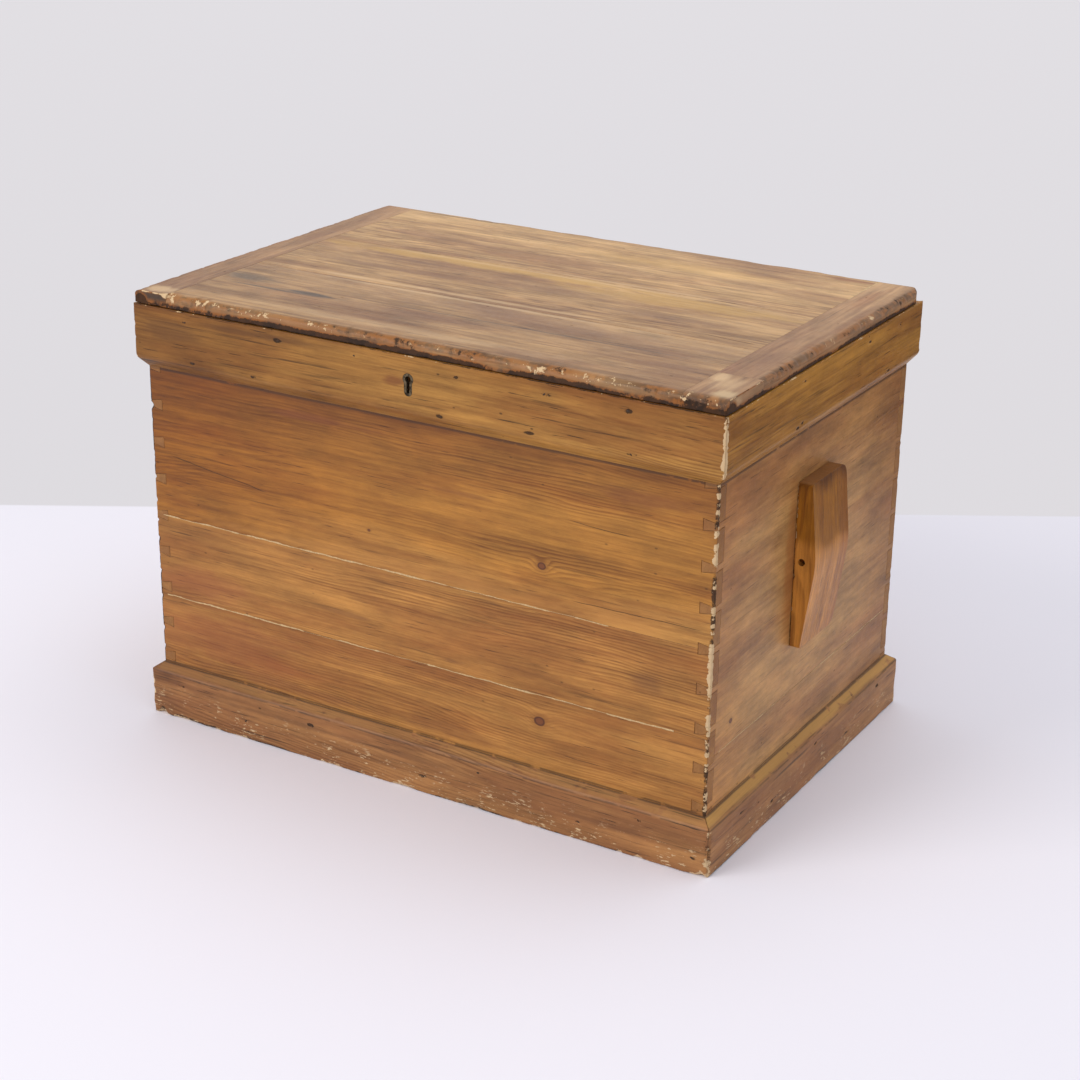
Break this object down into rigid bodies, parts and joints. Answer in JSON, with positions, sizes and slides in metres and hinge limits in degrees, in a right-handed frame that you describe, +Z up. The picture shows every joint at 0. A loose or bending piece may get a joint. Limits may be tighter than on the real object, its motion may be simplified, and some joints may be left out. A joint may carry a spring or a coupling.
{
  "type": "tool chest",
  "caption": "Dovetailed pine tool chest with a clamped lid on butt hinges, a box lock, a skirt, a plinth and a drilled rope cleat on each end.",
  "frame": {"origin": "on the floor under the middle of the chest", "axes": "+X to the right along the front, +Y from the front to the hinged back, +Z up"},
  "size_m": [0.9624, 0.63, 0.652],
  "materials": {
    "case_front": "old stripped pine, waxed and varnished to a golden brown satin",
    "case_side": "old stripped pine, pinkish brown under thin satin varnish",
    "skirt": "pine with orange-brown varnish, worn pale at the corners",
    "plinth": "pine, scuffed and flaked along its lower half",
    "lid": "weathered pinkish tan pine with grey and yellow streaks",
    "lid_clamp": "weathered pine with darkened end grain",
    "cleat": "pine with thick orange varnish on its end",
    "raw_pine": "bare dry pine",
    "iron": "browned wrought iron",
    "brass": "tarnished brass"
  },
  "bodies": {
    "case": {"case_front_board_lower": "case_front", "case_front_board_middle": "case_front", "case_front_board_upper": "case_front", "case_back_board_lower": "case_front", "case_back_board_middle": "case_front", "case_back_board_upper": "case_front", "case_left_board_lower": "case_side", "case_left_board_upper": "case_side", "case_right_board_lower": "case_side", "case_right_board_upper": "case_side", "floor_board_1": "raw_pine", "floor_board_2": "raw_pine", "floor_board_3": "raw_pine", "floor_board_4": "raw_pine", "floor_board_5": "raw_pine", "floor_board_6": "raw_pine", "floor_fillet_front": "raw_pine", "floor_fillet_back": "raw_pine", "skirt_front": "skirt", "skirt_right": "skirt", "skirt_back": "skirt", "skirt_left": "skirt", "plinth_front": "plinth", "plinth_right": "plinth", "plinth_back": "plinth", "plinth_left": "plinth", "rope_cleat_right": "cleat", "rope_cleat_left": "cleat", "keyhole_ring": "brass", "hinge_left_case_leaf": "iron", "hinge_left_pin": "iron", "hinge_right_case_leaf": "iron", "hinge_right_pin": "iron", "lock_case": "iron", "lock_top_plate": "iron"},
    "lid": {"lid_board_front": "lid", "lid_board_middle": "lid", "lid_board_back": "lid", "lid_clamp_left": "lid_clamp", "lid_clamp_right": "lid_clamp", "lid_clamp_repair": "lid_clamp", "hinge_left_lid_leaf": "iron", "hinge_right_lid_leaf": "iron", "lock_link_plate": "iron"},
    "lock_bolt": {"lock_bolt": "iron"}
  },
  "joints": [
    {"name": "lid_hinge", "type": "hinge", "parent": "case", "child": "lid", "pos_m": [0, 0.304, 0.6324], "axis": [-1, 0, 0], "range_deg": [0, 97]},
    {"name": "lock_bolt_throw", "type": "slide", "parent": "case", "child": "lock_bolt", "axis": [1, 0, 0], "range_m": [0, 0.008]}
  ]
}
